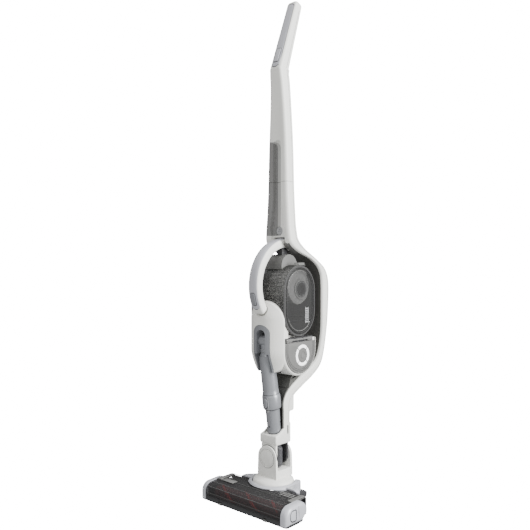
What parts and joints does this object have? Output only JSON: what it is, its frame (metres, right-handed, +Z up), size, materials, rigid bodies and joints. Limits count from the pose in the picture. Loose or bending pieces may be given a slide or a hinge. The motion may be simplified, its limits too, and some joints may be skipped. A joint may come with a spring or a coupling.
{
  "type": "cordless stick vacuum",
  "caption": "Free-standing cordless stick vacuum: tilting, steering floor head, bowed frame with cranked handle, and a removable hand vacuum with a fold-out wand.",
  "frame": {"origin": "bottom centre of the whole object's box, on the floor", "axes": "+Z up along the stick, -Y towards the front edge of the floor head, +X towards the dust bowl's door"},
  "size_m": [0.256, 0.2717, 1.161],
  "materials": {
    "white_shell": "satin moulded shell",
    "silver_plastic": "metallic silver paint on plastic",
    "grey_plastic": "fine texture",
    "dark_plastic": "matt black",
    "smoky_clear": "tinted clear moulding",
    "black_rubber": "matt",
    "steel": "turned",
    "cell_can": "wrapped cells",
    "bristle": "nylon tufts",
    "filter_media": "pleated",
    "hose_plastic": "ribbed hose",
    "light_white": "light diffuser"
  },
  "bodies": {
    "floor_head": {"head_base": "dark_plastic", "sole_plate": "dark_plastic", "head_cover": "smoky_clear", "end_cap_left": "silver_plastic", "end_cap_right": "silver_plastic", "brush_bearings": "steel", "brush_motor": "steel", "drive_belt": "black_rubber", "saddle": "silver_plastic", "tilt_pins": "steel", "wheel_axles": "steel", "head_screws": "steel"},
    "brush_roll": {"brush_core": "dark_plastic", "brush_bristles": "bristle"},
    "motor_shaft": {"motor_pulley": "grey_plastic"},
    "left_wheel": {"rear_wheel_left": "dark_plastic"},
    "right_wheel": {"rear_wheel_right": "dark_plastic"},
    "rollers": {"front_rollers": "grey_plastic"},
    "brush_button": {"brush_release_button": "silver_plastic"},
    "neck": {"neck_fork": "white_shell", "tilt_dome": "white_shell", "steering_pins": "steel", "pivot_cap": "white_shell", "neck_hose": "hose_plastic"},
    "frame": {"hose_cuff": "grey_plastic", "frame_yoke": "white_shell", "seat_gasket": "black_rubber", "spine_inner_shell": "white_shell", "spine_rear_shell": "white_shell", "stick_lower_shell": "white_shell", "stick_upper_shell": "white_shell", "stick_rear_shell": "white_shell", "handle_shell": "white_shell", "handle_grip": "silver_plastic", "charge_socket": "dark_plastic"},
    "main_switch": {"handle_switch": "silver_plastic"},
    "unlock_button": {"release_button": "grey_plastic"},
    "hand_vac": {"vac_chassis": "dark_plastic", "lower_housing": "white_shell", "recess_frame": "silver_plastic", "loop_handle": "white_shell", "loop_grip": "silver_plastic", "control_panel": "grey_plastic", "led_ring": "light_white", "suction_motor": "steel", "motor_dome": "grey_plastic", "battery_cells": "cell_can", "dust_bowl": "smoky_clear", "cyclone_shroud": "smoky_clear", "filter": "filter_media", "door_hinge_pin": "steel", "knuckle_pin": "steel"},
    "fan": {"impeller": "grey_plastic"},
    "vac_switch": {"hand_switch": "silver_plastic"},
    "vac_button": {"power_button": "grey_plastic"},
    "door": {"bowl_door": "smoky_clear"},
    "door_latch": {"bowl_latch": "smoky_clear"},
    "wand": {"wand_tube": "silver_plastic"},
    "wand_tip": {"wand_extension": "silver_plastic"},
    "wand_button": {"wand_latch": "silver_plastic"}
  },
  "joints": [
    {"name": "tilt", "type": "hinge", "parent": "floor_head", "child": "neck", "pos_m": [0, -0.0289, 0.032], "axis": [-1, 0, 0], "range_deg": [0, 65]},
    {"name": "steer", "type": "hinge", "parent": "neck", "child": "frame", "pos_m": [0, -0.0289, 0.102], "axis": [0, 1, 0], "range_deg": [-60, 60], "deforming": ["neck_hose"]},
    {"name": "vac_release", "type": "slide", "parent": "frame", "child": "hand_vac", "axis": [0, -1, 0], "range_m": [0, 0.25]},
    {"name": "wand_fold", "type": "hinge", "parent": "hand_vac", "child": "wand", "pos_m": [0, -0.0569, 0.366], "axis": [-1, 0, 0], "range_deg": [0, 100]},
    {"name": "wand_extend", "type": "slide", "parent": "wand", "child": "wand_tip", "axis": [0, -0.153, 0.9882], "range_m": [0, 0.045]},
    {"name": "wand_unlock", "type": "slide", "parent": "wand", "child": "wand_button", "axis": [0, 0.9882, 0.153], "range_m": [0, 0.0018], "stiffness_N_per_m": 600, "springref_m": -0.002},
    {"name": "vac_switch_slide", "type": "slide", "parent": "hand_vac", "child": "vac_switch", "axis": [0, -0.2672, 0.9636], "range_m": [0, 0.006]},
    {"name": "power_press", "type": "slide", "parent": "hand_vac", "child": "vac_button", "axis": [-1, 0, 0], "range_m": [0, 0.0015], "stiffness_N_per_m": 600, "springref_m": -0.002},
    {"name": "door_swing", "type": "hinge", "parent": "hand_vac", "child": "door", "pos_m": [0.0485, 0.0061, 0.369], "axis": [0, 1, 0], "range_deg": [0, 100]},
    {"name": "latch_lift", "type": "slide", "parent": "hand_vac", "child": "door_latch", "axis": [0, 0, 1], "range_m": [0, 0.003]},
    {"name": "fan_spin", "type": "hinge", "parent": "hand_vac", "child": "fan", "pos_m": [-0.028, 0.0131, 0.487], "axis": [1, 0, 0], "continuous": true},
    {"name": "main_switch_slide", "type": "slide", "parent": "frame", "child": "main_switch", "axis": [0, 0.342, 0.9397], "range_m": [0, 0.007]},
    {"name": "unlock_press", "type": "slide", "parent": "frame", "child": "unlock_button", "axis": [0, 1, 0], "range_m": [0, 0.003], "stiffness_N_per_m": 600, "springref_m": -0.002},
    {"name": "brush_spin", "type": "hinge", "parent": "floor_head", "child": "brush_roll", "pos_m": [0, -0.1089, 0.0185], "axis": [1, 0, 0], "continuous": true},
    {"name": "pulley_spin", "type": "hinge", "parent": "floor_head", "child": "motor_shaft", "pos_m": [-0.1005, -0.0758, 0.02], "axis": [1, 0, 0], "continuous": true},
    {"name": "left_wheel_spin", "type": "hinge", "parent": "floor_head", "child": "left_wheel", "pos_m": [-0.0415, 0.0191, 0.011], "axis": [1, 0, 0], "continuous": true},
    {"name": "right_wheel_spin", "type": "hinge", "parent": "floor_head", "child": "right_wheel", "pos_m": [0.0415, 0.0191, 0.011], "axis": [1, 0, 0], "continuous": true},
    {"name": "roller_spin", "type": "hinge", "parent": "floor_head", "child": "rollers", "pos_m": [0, -0.1327, 0.0029], "axis": [1, 0, 0], "continuous": true},
    {"name": "brush_release_press", "type": "slide", "parent": "floor_head", "child": "brush_button", "axis": [-1, 0, 0], "range_m": [0, 0.0025], "stiffness_N_per_m": 600, "springref_m": -0.002}
  ],
  "couplings": [
    {"joint": "pulley_spin", "follows": "brush_spin", "ratio": 1.8}
  ]
}
